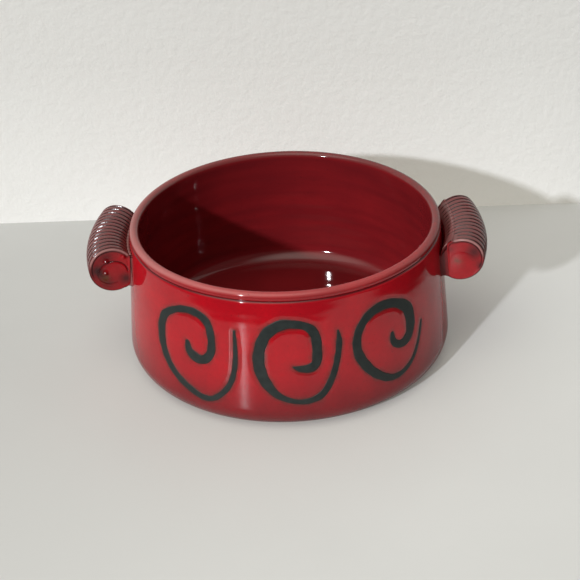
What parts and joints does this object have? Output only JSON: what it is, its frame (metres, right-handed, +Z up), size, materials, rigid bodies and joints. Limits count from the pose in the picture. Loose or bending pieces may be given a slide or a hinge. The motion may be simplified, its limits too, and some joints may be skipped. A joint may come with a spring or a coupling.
{
  "type": "ceramic bowl with handles",
  "caption": "Round straight-sided glazed ceramic bowl with ribbed scroll handles on opposite sides and painted black scrolls on the wall; stands on a foot ring.",
  "frame": {"origin": "on the table under the middle of the bowl", "axes": "+Z up, the handles on the X axis (left handle at -X), the front of the bowl faces -Y"},
  "size_m": [0.2456, 0.2002, 0.089],
  "materials": {
    "red_glaze": "glossy translucent red glaze, browner where it runs thin over edges",
    "handle_glaze": "glossy brown-red glaze, thin over the rib crests and pooled in the grooves",
    "painted_line": "matt black painted line, sunk a little below the glaze"
  },
  "bodies": {
    "root": {"bowl_body": "red_glaze", "left_handle_roll": "handle_glaze", "left_handle_neck": "handle_glaze", "right_handle_roll": "handle_glaze", "right_handle_neck": "handle_glaze", "front_left_scroll": "painted_line", "front_middle_scroll": "painted_line", "front_right_scroll": "painted_line", "back_left_scroll": "painted_line", "back_middle_scroll": "painted_line", "back_right_scroll": "painted_line"}
  },
  "joints": []
}
